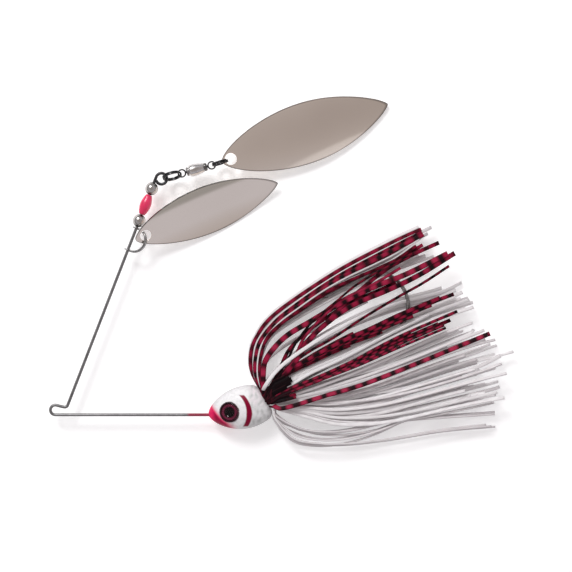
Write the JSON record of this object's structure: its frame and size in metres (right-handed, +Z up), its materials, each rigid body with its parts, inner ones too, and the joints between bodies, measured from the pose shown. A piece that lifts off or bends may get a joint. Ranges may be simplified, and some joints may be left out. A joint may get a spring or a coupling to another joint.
{
  "type": "spinnerbait fishing lure",
  "caption": "Spinnerbait lure: V-shaped wire arm with weighted head, skirted single hook, a clevis-hung blade and a swivel-hung blade.",
  "frame": {"origin": "middle of the footprint, on the table the lure lies on", "axes": "+X from the line tie to the skirt tips, +Y from the head towards the blades, +Z up, square to the plane of the wire arm and hook"},
  "size_m": [0.1382, 0.1056, 0.0096],
  "materials": {
    "wire": "drawn stainless wire, satin",
    "head_paint": "pearl white over lead, crimson chin, clear coat",
    "hook": "bright bronze-nickel hook wire",
    "eye_foil": "printed foil under a dome",
    "eye_lens": "clear domed resin",
    "collar": "black rubber band",
    "skirt_red": "silicone strands, red with dark bars and clear strands between",
    "skirt_pearl": "silicone strands, milky clear",
    "tackle": "bright nickel",
    "black_nickel": "dark nickel",
    "blade": "nickel plated brass",
    "bead_metal": "nickel plated",
    "bead_red": "translucent red"
  },
  "bodies": {
    "frame": {"wire_arm": "wire", "head": "head_paint", "hook": "hook", "eye_foil_left": "eye_foil", "eye_foil_right": "eye_foil", "eye_lens_left": "eye_lens", "eye_lens_right": "eye_lens", "skirt_collar": "collar", "skirt_upper_near": "skirt_red", "skirt_upper_far": "skirt_red", "skirt_middle_near": "skirt_red", "skirt_middle_far": "skirt_red", "skirt_lower_near": "skirt_pearl", "skirt_lower_far": "skirt_pearl"},
    "clevis": {"clevis": "tackle"},
    "front_blade": {"front_blade": "blade"},
    "bead_lower": {"bead_lower": "bead_metal"},
    "bead_spindle": {"bead_spindle": "bead_red"},
    "bead_upper": {"bead_upper": "bead_metal"},
    "split_ring_front": {"split_ring_front": "black_nickel"},
    "swivel_front_eye": {"swivel_front_eye": "black_nickel"},
    "swivel_barrel": {"swivel_barrel": "tackle", "swivel_balls": "bead_metal"},
    "swivel_rear_eye": {"swivel_rear_eye": "black_nickel"},
    "split_ring_rear": {"split_ring_rear": "black_nickel"},
    "rear_blade": {"rear_blade": "blade"}
  },
  "joints": [
    {"name": "clevis_spin", "type": "hinge", "parent": "frame", "child": "clevis", "pos_m": [-0.04417, 0.00945, 0.0048], "axis": [0.3616, 0.9323, 0], "continuous": true},
    {"name": "front_blade_swing", "type": "hinge", "parent": "clevis", "child": "front_blade", "pos_m": [-0.04329, 0.00911, 0.00514], "axis": [-0.3189, 0.1237, 0.9397], "range_deg": [-95, 3]},
    {"name": "bead_lower_spin", "type": "hinge", "parent": "frame", "child": "bead_lower", "pos_m": [-0.04203, 0.01495, 0.0048], "axis": [0.3616, 0.9323, 0], "continuous": true},
    {"name": "bead_spindle_spin", "type": "hinge", "parent": "frame", "child": "bead_spindle", "pos_m": [-0.04017, 0.01975, 0.0048], "axis": [0.3616, 0.9323, 0], "continuous": true},
    {"name": "bead_upper_spin", "type": "hinge", "parent": "frame", "child": "bead_upper", "pos_m": [-0.03831, 0.02455, 0.0048], "axis": [0.3616, 0.9323, 0], "continuous": true},
    {"name": "front_ring_swing", "type": "hinge", "parent": "frame", "child": "split_ring_front", "pos_m": [-0.03538, 0.02755, 0.0048], "axis": [0, 0, 1], "range_deg": [-3, 45]},
    {"name": "swivel_swing", "type": "hinge", "parent": "split_ring_front", "child": "swivel_front_eye", "pos_m": [-0.02958, 0.0291, 0.0048], "axis": [0, 0, 1], "range_deg": [-4, 20]},
    {"name": "barrel_spin", "type": "hinge", "parent": "swivel_front_eye", "child": "swivel_barrel", "pos_m": [-0.02926, 0.02918, 0.0048], "axis": [0.9659, 0.2588, 0], "continuous": true},
    {"name": "rear_eye_spin", "type": "hinge", "parent": "swivel_barrel", "child": "swivel_rear_eye", "pos_m": [-0.02033, 0.03158, 0.0048], "axis": [0.9659, 0.2588, 0], "continuous": true},
    {"name": "rear_ring_swing", "type": "hinge", "parent": "swivel_rear_eye", "child": "split_ring_rear", "pos_m": [-0.02033, 0.03158, 0.0048], "axis": [0, 0, 1], "range_deg": [-4, 12]},
    {"name": "rear_blade_swing", "type": "hinge", "parent": "split_ring_rear", "child": "rear_blade", "pos_m": [-0.01561, 0.03307, 0.0048], "axis": [0, 0, 1], "range_deg": [-4, 20]}
  ]
}
